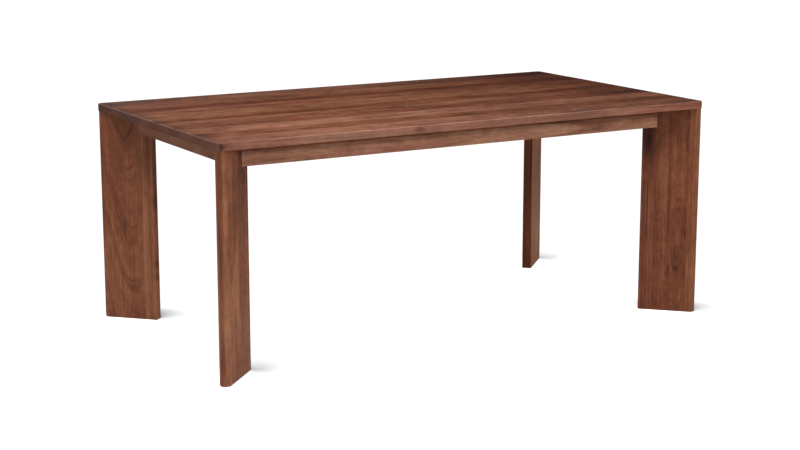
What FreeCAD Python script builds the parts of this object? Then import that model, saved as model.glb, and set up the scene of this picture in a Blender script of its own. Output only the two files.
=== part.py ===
"""Dining table on four diagonal plank legs, built the way it comes apart on a bench.

Frame: +X along the table, +Y from the front edge to the rear edge, +Z up.
The origin is on the floor under the middle of the top. Lengths are millimetres.

The edge-glued top lies on a frame of four aprons. Each leg is a thick plank that
stands on the diagonal of its corner, between the mitred ends of two aprons, and a
corner block behind it is pulled up tight by two hanger bolts.
"""
import FreeCAD, Part
import math
import os
import re

import Sketcher

Vector = FreeCAD.Vector
Rotation = FreeCAD.Rotation

# Alias, value, what it measures.
DRIVING_SIZES = [
    ("table_length", 1830, "overall, along X"),
    ("table_width", 1000, "overall, along Y"),
    ("table_height", 750, "floor to the top's upper face"),
    ("top_thickness", 25, "top boards"),
    ("top_corner_radius", 16, "corners of the top, in plan"),
    ("top_arris_radius", 2.5, "upper and lower edges of the top"),
    ("board_share_1", 111, "front board, as a share of the glued width"),
    ("board_share_2", 78, "share"),
    ("board_share_3", 105, "share"),
    ("board_share_4", 84, "share"),
    ("board_share_5", 72, "share"),
    ("board_share_6", 62, "share"),
    ("board_share_7", 116, "share"),
    ("board_share_8", 85, "share"),
    ("board_share_9", 76, "share"),
    ("board_share_10", 94, "share"),
    ("board_share_11", 117, "rear board, share"),
    ("leg_plank_width", 198, "nose to inner edge, along the diagonal"),
    ("leg_thickness", 35, "across the diagonal"),
    ("leg_nose_inset", 2, "nose inside the outline of the top"),
    ("leg_nose_arris", 4, "where the nose meets the wide faces"),
    ("leg_end_arris", 3, "upright edges of the inner edge"),
    ("leg_foot_arris", 1.5, "round the foot"),
    ("front_left_stave_1", 54, "nose stave, as a share of the plank"),
    ("front_left_stave_2", 52, "share"),
    ("front_left_stave_3", 92, "inner stave, share"),
    ("front_right_stave_1", 34, "nose stave, share"),
    ("front_right_stave_2", 117, "share"),
    ("front_right_stave_3", 47, "inner stave, share"),
    ("rear_right_stave_1", 110, "nose stave, share"),
    ("rear_right_stave_2", 88, "inner stave, share"),
    ("rear_left_stave_1", 138, "nose stave, share"),
    ("rear_left_stave_2", 60, "inner stave, share"),
    ("apron_setback", 98, "edge of the top to the apron's outer face"),
    ("apron_thickness", 22, "outer face to inner face"),
    ("apron_height", 70, "under the top"),
    ("apron_arris", 1.5, "lower edges of the aprons"),
    ("groove_drop", 12, "under the top, to the button groove"),
    ("groove_width", 8, "up and down"),
    ("groove_depth", 10, "into the apron"),
    ("button_length", 38, "clear of the apron"),
    ("button_width", 28, "along the apron"),
    ("button_thickness", 20, "under the top"),
    ("button_gap", 2, "button to apron, so that the top can move"),
    ("tongue_length", 7, "into the groove"),
    ("tongue_thickness", 6.5, "up and down"),
    ("end_button_inset", 315, "end of the table to the outer long-side buttons"),
    ("middle_button_offset", 150, "middle of the table to the inner buttons"),
    ("side_button_inset", 340, "front or rear edge to the short-side buttons"),
    ("rail_offset", 320, "middle of the table to each cross rail"),
    ("rail_thickness", 22, "along X"),
    ("rail_height", 50, "under the top"),
    ("tenon_drop", 25, "under the top, to the tenon"),
    ("tenon_height", 22, "up and down"),
    ("tenon_thickness", 10, "along X"),
    ("tenon_length", 12, "into the apron"),
    ("joint_clearance", 0.15, "round tenons, bolts and screws"),
    ("block_thickness", 40, "along the diagonal"),
    ("block_height", 50, "up and down"),
    ("block_drop", 15, "under the top"),
    ("bolt_diameter", 8, "hanger bolts"),
    ("bolt_depth", 55, "into the leg"),
    ("bolt_tip", 4, "past the nut"),
    ("bolt_pitch", 26, "between the two bolts of a leg"),
    ("washer_diameter", 20, "under the nuts"),
    ("washer_thickness", 2, "under the nuts"),
    ("nut_across_flats", 13, "hexagon nuts"),
    ("nut_height", 6.5, "hexagon nuts"),
    ("screw_diameter", 4.5, "wood screws"),
    ("screw_head_diameter", 9, "wood screws"),
    ("screw_head_height", 3, "wood screws"),
    ("head_pocket_clearance", 1, "round a sunk screw head"),
    ("block_screw_depth", 14, "into the apron"),
    ("block_screw_sink", 6, "seat of the head inside the block"),
    ("block_screw_pitch", 26, "between the two screws of a side"),
    ("top_screw_depth", 15, "into the top"),
    ("button_screw_sink", 4, "seat of the head inside the button"),
    ("rail_screw_grip", 25, "top to the seat of the head"),
    ("rail_screw_offset", 210, "middle of the table to the rail screws"),
    ("glide_diameter", 22, "under the feet"),
    ("glide_thickness", 1.5, "under the feet"),
    ("glide_pin_diameter", 2.5, "up into the foot"),
    ("glide_pin_length", 14, "up into the foot"),
    ("glide_nose_inset", 45, "nose of the leg to the outer glide"),
    ("glide_end_inset", 25, "inner edge of the leg to the inner glide"),
]
ALIAS_PATTERN = re.compile(r"\b(" + "|".join(alias for alias, _, _ in DRIVING_SIZES) + r")\b")

# Each corner of the table: signs of X and Y.
CORNERS = {
    "front_left": (-1, -1),
    "front_right": (1, -1),
    "rear_right": (1, 1),
    "rear_left": (-1, 1),
}
# The aprons that the block of a corner is screwed to: left and right of the diagonal.
CORNER_APRONS = {
    "front_left": ("front", "left"),
    "front_right": ("right", "front"),
    "rear_right": ("rear", "right"),
    "rear_left": ("left", "rear"),
}
# The staves of each leg, from its nose inward.
LEG_STAVES = {
    "front_left": ("nose", "middle", "inner"),
    "front_right": ("nose", "middle", "inner"),
    "rear_right": ("nose", "inner"),
    "rear_left": ("nose", "inner"),
}
TOP_BOARD_COUNT = 11

# Each apron: X and Y of the way that it runs, and the middle of its inner face.
APRONS = {
    "front": (1, 0, "0", "-table_width / 2 + apron_setback + apron_thickness"),
    "right": (0, 1, "table_length / 2 - apron_setback - apron_thickness", "0"),
    "rear": (-1, 0, "0", "table_width / 2 - apron_setback - apron_thickness"),
    "left": (0, -1, "-table_length / 2 + apron_setback + apron_thickness", "0"),
}

# Heights above the floor.
TOP_UNDERSIDE = "(table_height - top_thickness)"
APRON_UNDERSIDE = f"({TOP_UNDERSIDE} - apron_height)"
BLOCK_MIDDLE = f"({TOP_UNDERSIDE} - block_drop - block_height / 2)"

# Distances along the inward diagonal, from the sharp corner of the table.
NOSE_TIP = "(top_corner_radius * (sqrt(2) - 1) + leg_nose_inset)"
LEG_END = f"({NOSE_TIP} + leg_plank_width)"
BLOCK_END = f"({LEG_END} + block_thickness)"
APRON_CORNER = "((apron_setback + apron_thickness) * sqrt(2))"

# Two lengths closer than this are the same.
TOLERANCE = 1e-3

ALONG_DIAGONAL = Rotation(Vector(0, 1, 0), 90)
UPTURNED = Rotation(Vector(1, 0, 0), 180)

document = FreeCAD.newDocument("DiningTable")
sheet = document.addObject("Spreadsheet::Sheet", "Sizes")
finished_parts = []


# ---------------------------------------------------------------- helpers

def fill_sheet():
    """Write every driving size into its own named cell."""
    for row, (alias, value, note) in enumerate(DRIVING_SIZES, 1):
        sheet.set(f"A{row}", alias)
        sheet.set(f"B{row}", str(value))
        sheet.set(f"C{row}", note)
        sheet.setAlias(f"B{row}", alias)
    document.recompute()


def formula(text):
    """Point each size named in the text at its cell."""
    return ALIAS_PATTERN.sub(r"Sizes.\1", text)


def value_of(text):
    """Work out a formula now."""
    return float(sheet.evalExpression(formula(text)))


def bind(thing, **properties):
    """Tie properties of an object to formulas."""
    for name, text in properties.items():
        thing.setExpression(name, formula(text))
    return thing


def place(thing, x, y, z, rotation=Rotation()):
    """Put an object at a point given by three formulas."""
    thing.Placement = FreeCAD.Placement(Vector(0, 0, 0), rotation)
    for axis, text in (("x", x), ("y", y), ("z", z)):
        thing.setExpression(f"Placement.Base.{axis}", formula(text))
    return thing


def facing(x, y):
    """The level turn that points +X along a direction."""
    return Rotation(Vector(0, 0, 1), math.degrees(math.atan2(y, x)))


def place_at_corner(thing, corner, along="0", across="0", height="0", spin=Rotation()):
    """Put an object in a corner's own frame: along its inward diagonal, and across it."""
    sign_x, sign_y = CORNERS[corner]
    x = f"{sign_x} * table_length / 2 + ({-sign_x} * ({along}) + {sign_y} * ({across})) / sqrt(2)"
    y = f"{sign_y} * table_width / 2 + ({-sign_y} * ({along}) + {-sign_x} * ({across})) / sqrt(2)"
    return place(thing, x, y, height, facing(-sign_x, -sign_y) * spin)


def place_at_apron(thing, side, along="0", inward="0", height="0", spin=Rotation()):
    """Put an object in an apron's own frame: along it, and inward from its inner face."""
    run_x, run_y, middle_x, middle_y = APRONS[side]
    x = f"{middle_x} + {run_x} * ({along}) - {run_y} * ({inward})"
    y = f"{middle_y} + {run_y} * ({along}) + {run_x} * ({inward})"
    return place(thing, x, y, height, facing(run_x, run_y) * spin)


def new_body(name):
    """Start a body."""
    return document.addObject("PartDesign::Body", name)


def draw(body, name, role, corners):
    """Sketch a closed outline of straight edges on one origin plane of the body."""
    sketch = body.newObject("Sketcher::SketchObject", name)
    plane = next(item for item in body.Origin.OriginFeatures if item.Role == role)
    sketch.AttachmentSupport = (plane, [""])
    sketch.MapMode = "FlatFace"
    points = [Vector(value_of(across), value_of(up), 0) for across, up in corners]
    count = len(points)
    for index in range(count):
        sketch.addGeometry(Part.LineSegment(points[index], points[(index + 1) % count]))
    for index in range(count):
        sketch.addConstraint(Sketcher.Constraint("Coincident", index, 2, (index + 1) % count, 1))
    for index, (across, up) in enumerate(corners):
        tie_vertex(sketch, index, "DistanceX", points[index].x, across)
        tie_vertex(sketch, index, "DistanceY", points[index].y, up)
    return sketch


def tie_vertex(sketch, index, kind, distance, text):
    """Hold one corner of an outline at a distance from the sketch's origin."""
    number = sketch.addConstraint(Sketcher.Constraint(kind, -1, 1, index, 1, distance))
    sketch.setExpression(f"Constraints[{number}]", formula(text))


def rectangle(left, bottom, right, top):
    """Corners of a rectangle, in order."""
    return [(left, bottom), (right, bottom), (right, top), (left, top)]


def pad(body, sketch, length, both_ways=False):
    """Raise an outline into a solid."""
    feature = body.newObject("PartDesign::Pad", f"{sketch.Name}_pad")
    feature.Profile = sketch
    feature.SideType = "Symmetric" if both_ways else "One side"
    bind(feature, Length=length)
    document.recompute()
    return feature


def pocket(body, sketch, depth=None, backwards=False):
    """Sink an outline into the body, to a depth or right through both ways."""
    before = body.Shape.Volume
    feature = body.newObject("PartDesign::Pocket", f"{sketch.Name}_pocket")
    feature.Profile = sketch
    feature.Reversed = backwards
    if depth is None:
        feature.Type = "ThroughAll"
        feature.SideType = "Symmetric"
    else:
        bind(feature, Length=depth)
    document.recompute()
    if feature.Shape.Volume >= before:
        raise RuntimeError(f"{feature.Name} cuts nothing")
    return feature


def round_edges(body, base, wanted, radius):
    """Round the edges of a feature that pass a test."""
    names = [f"Edge{number}" for number, edge in enumerate(base.Shape.Edges, 1) if wanted(edge)]
    if not names:
        raise RuntimeError(f"no edge of {base.Name} to round")
    feature = body.newObject("PartDesign::Fillet", f"{body.Name}_round")
    feature.Base = (base, names)
    bind(feature, Radius=radius)
    document.recompute()
    return feature


def is_upright(edge):
    """A straight edge along Z."""
    bounds = edge.BoundBox
    return max(bounds.XLength, bounds.YLength) < TOLERANCE < bounds.ZLength


def is_level_at(height):
    """A test for edges that lie flat at one height."""
    def test(edge):
        bounds = edge.BoundBox
        return bounds.ZLength < TOLERANCE and abs(bounds.ZMin - height) < TOLERANCE
    return test


def upright_at(along, across):
    """A test for upright edges at one place in plan, on either side of the diagonal."""
    def test(edge):
        middle = edge.BoundBox.Center
        return (is_upright(edge) and abs(middle.x - along) < TOLERANCE
                and abs(abs(middle.y) - across) < TOLERANCE)
    return test


def box(name, length, width, height):
    """A plain block."""
    return bind(document.addObject("Part::Box", name), Length=length, Width=width, Height=height)


def rod(name, diameter, length):
    """A round bar along Z."""
    bar = document.addObject("Part::Cylinder", name)
    return bind(bar, Radius=f"({diameter}) / 2", Height=length)


def group(name, members):
    """Separate solids that share one name."""
    compound = document.addObject("Part::Compound", name)
    compound.Links = members
    return compound


def fuse(name, members):
    """Several solids made into one."""
    union = document.addObject("Part::MultiFuse", name)
    union.Shapes = members
    return union


def cut(name, base, tools):
    """A solid less all of the tools."""
    tool = tools[0]
    if len(tools) > 1:
        tool = group(f"{name}_bores", tools)
    result = document.addObject("Part::Cut", name)
    result.Base = base
    result.Tool = tool
    return result


def common(name, base, tool):
    """What two solids share."""
    result = document.addObject("Part::Common", name)
    result.Base = base
    result.Tool = tool
    return result


def finish(thing, name, solids=1):
    """Give a sub-part its name and put it on the list of parts to write."""
    thing.Label = name
    finished_parts.append((thing, name, solids))


def glue_lines(start, total, shares, overhang):
    """Lines that split a glued-up blank in proportion, with slack outside both edges."""
    whole = "(" + " + ".join(shares) + ")"
    lines = [f"{start} - {overhang}"]
    for count in range(1, len(shares)):
        done = "(" + " + ".join(shares[:count]) + ")"
        lines.append(f"{start} + {total} * {done} / {whole}")
    lines.append(f"{start} + {total} + {overhang}")
    return lines


# ---------------------------------------------------------------- fasteners

def screw(name, length):
    """A pan-head wood screw: seat of the head at the origin, shank down -Z."""
    shank = place(rod(f"{name}_shank", "screw_diameter", length), "0", "0", f"-({length})")
    head = rod(f"{name}_head", "screw_head_diameter", "screw_head_height")
    return fuse(name, [shank, head])


def screw_bore(name, length, head_room):
    """The hole that a screw leaves: a snug shank hole and a wide pocket over the seat."""
    hole_length = f"({length}) + joint_clearance"
    hole = rod(f"{name}_hole", "screw_diameter + 2 * joint_clearance", hole_length)
    place(hole, "0", "0", f"-({hole_length})")
    pocket_diameter = "screw_head_diameter + 2 * head_pocket_clearance"
    return fuse(name, [hole, rod(f"{name}_pocket", pocket_diameter, head_room)])


def corner_bolt_heights():
    """Heights of the two hanger bolts of a leg."""
    return [f"{BLOCK_MIDDLE} - bolt_pitch / 2", f"{BLOCK_MIDDLE} + bolt_pitch / 2"]


def hanger_bolt_set(corner):
    """Bolts, washers, nuts and the bolt bores of one corner."""
    bolts, washers, nuts, bores = [], [], [], []
    start = f"({LEG_END} - bolt_depth)"
    stack = "block_thickness + washer_thickness + nut_height + bolt_tip"
    for number, height in enumerate(corner_bolt_heights(), 1):
        name = f"{corner}_bolt_{number}"
        bolt = rod(name, "bolt_diameter", f"bolt_depth + {stack}")
        bolts.append(place_at_corner(bolt, corner, start, "0", height, ALONG_DIAGONAL))
        washer = ring(f"{name}_washer", rod(f"{name}_disc", "washer_diameter", "washer_thickness"))
        washers.append(place_at_corner(washer, corner, BLOCK_END, "0", height, ALONG_DIAGONAL))
        nut = ring(f"{name}_nut", hexagon(f"{name}_hexagon"))
        nut_start = f"{BLOCK_END} + washer_thickness"
        nuts.append(place_at_corner(nut, corner, nut_start, "0", height, ALONG_DIAGONAL))
        bore = rod(f"{name}_bore", "bolt_diameter + 2 * joint_clearance", f"bolt_depth + {stack}")
        bores.append(place_at_corner(bore, corner, start, "0", height, ALONG_DIAGONAL))
    return bolts, washers, nuts, bores


def hexagon(name):
    """The blank of a nut."""
    prism = document.addObject("Part::Prism", name)
    prism.Polygon = 6
    return bind(prism, Circumradius="nut_across_flats / sqrt(3)", Height="nut_height")


def ring(name, blank):
    """A washer or nut: a blank with a hole for the bolt."""
    hole = rod(f"{name}_hole", "bolt_diameter + 2 * joint_clearance", "washer_thickness + nut_height")
    return cut(name, blank, [hole])


def block_screw_set(corner):
    """Screws through a corner block, with their bores sorted by the apron they enter."""
    screws, bores = [], {}
    middle = f"(({LEG_END} + {BLOCK_END}) / sqrt(2) - apron_setback - apron_thickness)"
    seat = f"({BLOCK_END} * sqrt(2) - {middle} - block_screw_sink)"
    length = f"({seat} - apron_setback - apron_thickness + block_screw_depth)"
    along = f"({middle} + {seat}) / sqrt(2)"
    for turn, apron in zip((1, -1), CORNER_APRONS[corner]):
        across = f"{-turn} * ({middle} - {seat}) / sqrt(2)"
        spin = Rotation(Vector(0, 0, 1), 45 * turn) * ALONG_DIAGONAL
        for level in (-1, 1):
            height = f"{BLOCK_MIDDLE} + {level} * block_screw_pitch / 2"
            name = f"{corner}_{apron}_screw_{'lower' if level < 0 else 'upper'}"
            at = (corner, along, across, height, spin)
            screws.append(place_at_corner(screw(name, length), *at))
            bore = screw_bore(f"{name}_bore", length, "block_thickness")
            bores.setdefault(apron, []).append(place_at_corner(bore, *at))
    return screws, bores


# ---------------------------------------------------------------- sub-parts

def top_panel():
    """The glued-up top before it is parted into its boards."""
    body = new_body("top_panel")
    plan = rectangle("-table_length / 2", "-table_width / 2", "table_length / 2", "table_width / 2")
    slab = pad(body, draw(body, "top_plan", "XY_Plane", plan), "top_thickness")
    cornered = round_edges(body, slab, is_upright, "top_corner_radius")
    lower = is_level_at(0)
    upper = is_level_at(value_of("top_thickness"))
    round_edges(body, cornered, lambda edge: lower(edge) or upper(edge), "top_arris_radius")
    return place(body, "0", "0", TOP_UNDERSIDE)


def top_boards(panel, bores):
    """Part the bored panel along its glue lines."""
    bored = cut("bored_top", panel, bores)
    shares = [f"board_share_{number}" for number in range(1, TOP_BOARD_COUNT + 1)]
    lines = glue_lines("-table_width / 2", "table_width", shares, "top_thickness")
    for number in range(TOP_BOARD_COUNT):
        name = f"top_board_{number + 1:02d}"
        width = f"({lines[number + 1]}) - ({lines[number]})"
        strip = box(f"{name}_strip", "table_length + 2 * top_thickness", width, "3 * top_thickness")
        place(strip, "-table_length / 2 - top_thickness", lines[number],
              f"{TOP_UNDERSIDE} - top_thickness")
        finish(common(name, bored, strip), name)


def apron(side, bores, mortised):
    """A mitred apron with its button groove, and mortises where cross rails meet it."""
    body = new_body(f"{side}_apron_blank")
    span = "table_length" if side in ("front", "rear") else "table_width"
    outer = f"({span} / 2 - apron_setback - leg_thickness / sqrt(2))"
    inner = f"({outer} - apron_thickness)"
    plan = [(f"-{outer}", "-apron_thickness"), (outer, "-apron_thickness"), (inner, "0"),
            (f"-{inner}", "0")]
    board = pad(body, draw(body, f"{side}_apron_plan", "XY_Plane", plan), "apron_height")
    lower = is_level_at(0)
    round_edges(body, board, lambda edge: lower(edge) and edge.BoundBox.YLength < TOLERANCE,
                "apron_arris")
    groove_top = "(apron_height - groove_drop)"
    section = rectangle("-groove_depth", f"{groove_top} - groove_width", "0", groove_top)
    pocket(body, draw(body, f"{side}_groove", "YZ_Plane", section))
    if mortised:
        for hand in (-1, 1):
            mortise(body, side, hand)
    place_at_apron(body, side, height=APRON_UNDERSIDE)
    name = f"{side}_apron"
    finish(cut(name, body, bores), name)


def mortise(body, side, hand):
    """A blind mortise for one cross rail's tenon."""
    middle = f"{hand} * rail_offset"
    half = "(tenon_thickness / 2 + joint_clearance)"
    upper = "(apron_height - tenon_drop + joint_clearance)"
    lower = "(apron_height - tenon_drop - tenon_height - joint_clearance)"
    hole = rectangle(f"{middle} - {half}", lower, f"{middle} + {half}", upper)
    name = f"{side}_mortise_{'left' if hand < 0 else 'right'}"
    sketch = draw(body, name, "XZ_Plane", hole)
    pocket(body, sketch, "tenon_length + joint_clearance", backwards=True)


def leg_plank(corner):
    """A whole leg before it is parted into staves, with a nose that follows the top's corner."""
    body = new_body(f"{corner}_leg_plank")
    tip = "(leg_nose_inset * sqrt(2))"
    shoulder = f"({tip} + leg_thickness / 2)"
    half = "leg_thickness / 2"
    plan = [(tip, "0"), (shoulder, f"-{half}"), (LEG_END, f"-{half}"), (LEG_END, half),
            (shoulder, half)]
    sketch = draw(body, f"{corner}_leg_plan", "XY_Plane", plan)
    post = pad(body, sketch, f"{TOP_UNDERSIDE} - glide_thickness")
    nose = upright_at(value_of(tip), 0)
    nosed = round_edges(body, post, nose, "top_corner_radius - leg_nose_inset")
    shoulders = upright_at(value_of(shoulder), value_of(half))
    eased = round_edges(body, nosed, shoulders, "leg_nose_arris")
    inner_edge = upright_at(value_of(LEG_END), value_of(half))
    ended = round_edges(body, eased, inner_edge, "leg_end_arris")
    round_edges(body, ended, is_level_at(0), "leg_foot_arris")
    return place_at_corner(body, corner, height="glide_thickness")


def leg(corner, bolt_bores, glide_bores):
    """Bore a leg for its bolts and glides, and part it into its staves."""
    bored = cut(f"{corner}_bored_leg", leg_plank(corner), bolt_bores + glide_bores)
    labels = LEG_STAVES[corner]
    shares = [f"{corner}_stave_{number}" for number in range(1, len(labels) + 1)]
    lines = glue_lines(NOSE_TIP, "leg_plank_width", shares, "leg_nose_inset")
    for number, label in enumerate(labels):
        name = f"{corner}_leg_{label}_stave"
        length = f"({lines[number + 1]}) - ({lines[number]})"
        strip = box(f"{name}_strip", length, "2 * leg_thickness", "table_height")
        place_at_corner(strip, corner, lines[number], "-leg_thickness")
        finish(common(name, bored, strip), name)


def leg_glides(corner):
    """Two pinned glides under one foot, and the holes for their pins."""
    glides, bores = [], []
    places = {"outer": f"{NOSE_TIP} + glide_nose_inset", "inner": f"{LEG_END} - glide_end_inset"}
    for label, along in places.items():
        name = f"{corner}_glide_{label}"
        disc = rod(f"{name}_disc", "glide_diameter", "glide_thickness")
        pin = rod(f"{name}_pin", "glide_pin_diameter", "glide_thickness + glide_pin_length")
        glides.append(place_at_corner(fuse(name, [disc, pin]), corner, along))
        hole_length = "glide_thickness + glide_pin_length + joint_clearance"
        hole = rod(f"{name}_hole", "glide_pin_diameter + 2 * joint_clearance", hole_length)
        bores.append(place_at_corner(hole, corner, along))
    node = f"{corner}_leg_glides"
    finish(group(node, glides), node, solids=len(glides))
    return bores


def corner_block(corner, bores):
    """A block between two aprons, square behind the inner edge of a leg."""
    body = new_body(f"{corner}_block_blank")
    near = f"({LEG_END} - {APRON_CORNER})"
    far = f"({BLOCK_END} - {APRON_CORNER})"
    plan = [(LEG_END, f"-{near}"), (BLOCK_END, f"-{far}"), (BLOCK_END, far), (LEG_END, near)]
    pad(body, draw(body, f"{corner}_block_plan", "XY_Plane", plan), "block_height")
    place_at_corner(body, corner, height=f"{BLOCK_MIDDLE} - block_height / 2")
    name = f"{corner}_corner_block"
    finish(cut(name, body, bores), name)


def cross_rails():
    """Two rails between the long aprons, screwed up into the top."""
    screws, bores = [], []
    clear = "(table_width - 2 * (apron_setback + apron_thickness))"
    length = "rail_screw_grip + top_screw_depth"
    for hand, label in ((-1, "left"), (1, "right")):
        name = f"cross_rail_{label}"
        beam = box(f"{name}_beam", "rail_thickness", clear, "rail_height")
        place(beam, f"{hand} * rail_offset - rail_thickness / 2", f"-{clear} / 2",
              f"{TOP_UNDERSIDE} - rail_height")
        bar = box(f"{name}_tenons", "tenon_thickness", f"{clear} + 2 * tenon_length", "tenon_height")
        place(bar, f"{hand} * rail_offset - tenon_thickness / 2", f"-{clear} / 2 - tenon_length",
              f"{TOP_UNDERSIDE} - tenon_drop - tenon_height")
        rail_bores = []
        for side in (-1, 1):
            tag = f"{name}_screw_{'front' if side < 0 else 'rear'}"
            at = (f"{hand} * rail_offset", f"{side} * rail_screw_offset",
                  f"{TOP_UNDERSIDE} - rail_screw_grip")
            screws.append(place(screw(tag, length), *at, UPTURNED))
            bore = screw_bore(f"{tag}_bore", length, "rail_height")
            rail_bores.append(place(bore, *at, UPTURNED))
        finish(cut(name, fuse(f"{name}_blank", [beam, bar]), rail_bores), name)
        bores += rail_bores
    finish(group("cross_rail_screws", screws), "cross_rail_screws", solids=len(screws))
    return bores


def button_places(side):
    """Where the buttons of an apron stand along it."""
    if side in ("front", "rear"):
        outer = "(table_length / 2 - end_button_inset)"
        return [f"-{outer}", "-middle_button_offset", "middle_button_offset", outer]
    offset = "(table_width / 2 - side_button_inset)"
    return [f"-{offset}", offset]


def button_blank(name):
    """One button: a block under the top with a tongue for the apron's groove."""
    body = new_body(name)
    far = "(button_gap + button_length)"
    tongue_top = "-groove_drop"
    tongue_bottom = "-(groove_drop + tongue_thickness)"
    profile = [("button_gap", "0"), (far, "0"), (far, "-button_thickness"),
               ("button_gap", "-button_thickness"), ("button_gap", tongue_bottom),
               ("-tongue_length", tongue_bottom), ("-tongue_length", tongue_top),
               ("button_gap", tongue_top)]
    pad(body, draw(body, f"{name}_profile", "YZ_Plane", profile), "button_width", both_ways=True)
    return body


def top_buttons():
    """Buttons of every apron, with the screws that hold them to the top."""
    screws, bores = [], []
    length = "button_thickness - button_screw_sink + top_screw_depth"
    seat = f"{TOP_UNDERSIDE} - button_thickness + button_screw_sink"
    for side in APRONS:
        buttons = []
        for number, along in enumerate(button_places(side), 1):
            name = f"{side}_button_{number}"
            blank = place_at_apron(button_blank(f"{name}_blank"), side, along, height=TOP_UNDERSIDE)
            middle = "button_gap + button_length / 2"
            at = (side, along, middle, seat, UPTURNED)
            screws.append(place_at_apron(screw(f"{name}_screw", length), *at))
            bore = screw_bore(f"{name}_bore", length, "button_thickness")
            bores.append(place_at_apron(bore, *at))
            buttons.append(cut(name, blank, [bore]))
        node = f"{side}_apron_buttons"
        finish(group(node, buttons), node, solids=len(buttons))
    finish(group("button_screws", screws), "button_screws", solids=len(screws))
    return bores


# ---------------------------------------------------------------- assembly

def build():
    """Make every sub-part of the table."""
    fill_sheet()
    panel = top_panel()
    top_bores = cross_rails() + top_buttons()
    top_boards(panel, top_bores)

    apron_bores = {side: [] for side in APRONS}
    bolts, washers, nuts, block_screws = [], [], [], []
    for corner in CORNERS:
        corner_bolts, corner_washers, corner_nuts, bolt_bores = hanger_bolt_set(corner)
        corner_screws, screw_bores = block_screw_set(corner)
        bolts += corner_bolts
        washers += corner_washers
        nuts += corner_nuts
        block_screws += corner_screws
        for side, side_bores in screw_bores.items():
            apron_bores[side] += side_bores
        leg(corner, bolt_bores, leg_glides(corner))
        corner_block(corner, bolt_bores + [bore for side in screw_bores.values() for bore in side])
    for side, bores in apron_bores.items():
        apron(side, bores, mortised=side in ("front", "rear"))

    for name, members in (("hanger_bolts", bolts), ("bolt_washers", washers),
                          ("bolt_nuts", nuts), ("corner_block_screws", block_screws)):
        finish(group(name, members), name, solids=len(members))


def check():
    """Stop if any object failed or any sub-part isn't whole."""
    document.recompute()
    for thing in document.Objects:
        if "Invalid" in thing.State or "Error" in thing.State:
            raise RuntimeError(f"{thing.Name} failed: {thing.State}")
    for thing, name, solids in finished_parts:
        if thing.Shape.isNull() or not thing.Shape.isValid():
            raise RuntimeError(f"{name} has no valid shape")
        if len(thing.Shape.Solids) != solids:
            raise RuntimeError(f"{name} has {len(thing.Shape.Solids)} solids, not {solids}")


def write():
    """Write one STEP file for each sub-part."""
    os.makedirs("parts", exist_ok=True)
    for thing, name, _ in finished_parts:
        thing.Shape.exportStep(os.path.join("parts", f"{name}.step"))
    print(len(finished_parts), "sub-parts written")


build()
check()
write()
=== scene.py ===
"""Finishes, fasteners, studio and camera for a walnut dining table on four diagonal plank legs.

Frame: +X along the table, +Y from the front edge to the rear edge, +Z up, with the
origin on the floor under the middle of the top. Lengths are metres.
"""
from __future__ import annotations

import logging
import math
from dataclasses import dataclass, field, replace
from enum import Enum
from functools import reduce
from typing import Any, Mapping, NamedTuple, Sequence

import bpy
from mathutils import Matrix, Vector

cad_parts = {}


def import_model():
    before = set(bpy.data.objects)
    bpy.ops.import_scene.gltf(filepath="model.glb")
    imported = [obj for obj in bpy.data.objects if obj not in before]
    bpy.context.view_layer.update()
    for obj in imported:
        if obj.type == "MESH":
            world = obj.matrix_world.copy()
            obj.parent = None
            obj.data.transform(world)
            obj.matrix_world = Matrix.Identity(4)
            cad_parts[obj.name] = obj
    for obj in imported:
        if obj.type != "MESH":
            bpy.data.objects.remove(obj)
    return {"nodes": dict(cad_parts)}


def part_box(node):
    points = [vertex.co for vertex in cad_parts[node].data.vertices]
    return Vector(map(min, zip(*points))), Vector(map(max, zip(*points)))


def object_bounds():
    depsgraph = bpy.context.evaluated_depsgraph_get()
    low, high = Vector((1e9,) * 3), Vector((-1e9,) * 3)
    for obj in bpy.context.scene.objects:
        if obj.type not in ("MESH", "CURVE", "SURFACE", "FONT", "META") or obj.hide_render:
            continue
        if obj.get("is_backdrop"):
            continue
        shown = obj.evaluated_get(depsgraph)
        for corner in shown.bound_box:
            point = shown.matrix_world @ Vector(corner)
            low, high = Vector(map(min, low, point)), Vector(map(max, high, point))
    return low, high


LOG = logging.getLogger("dining_table")

Colour = tuple[float, float, float]
Point = tuple[float, float, float]
Stops = Sequence[tuple[float, Colour]]
Node = bpy.types.Node
Socket = bpy.types.NodeSocket
Sockets = Mapping[str, Socket]
Material = bpy.types.Material
Nodes = Mapping[str, bpy.types.Object]

RIGHTWARD: Point = (1.0, 0.0, 0.0)
REARWARD: Point = (0.0, 1.0, 0.0)
UP: Point = (0.0, 0.0, 1.0)
HALF_DIAGONAL = math.sqrt(0.5)
SOCKET_TYPES = {"VALUE": "NodeSocketFloat", "VECTOR": "NodeSocketVector", "RGBA": "NodeSocketColor"}
MIX_FACTOR, MIX_FIRST, MIX_SECOND, MIX_RESULT = 0, 6, 7, 2


# -------------------- node trees


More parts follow.
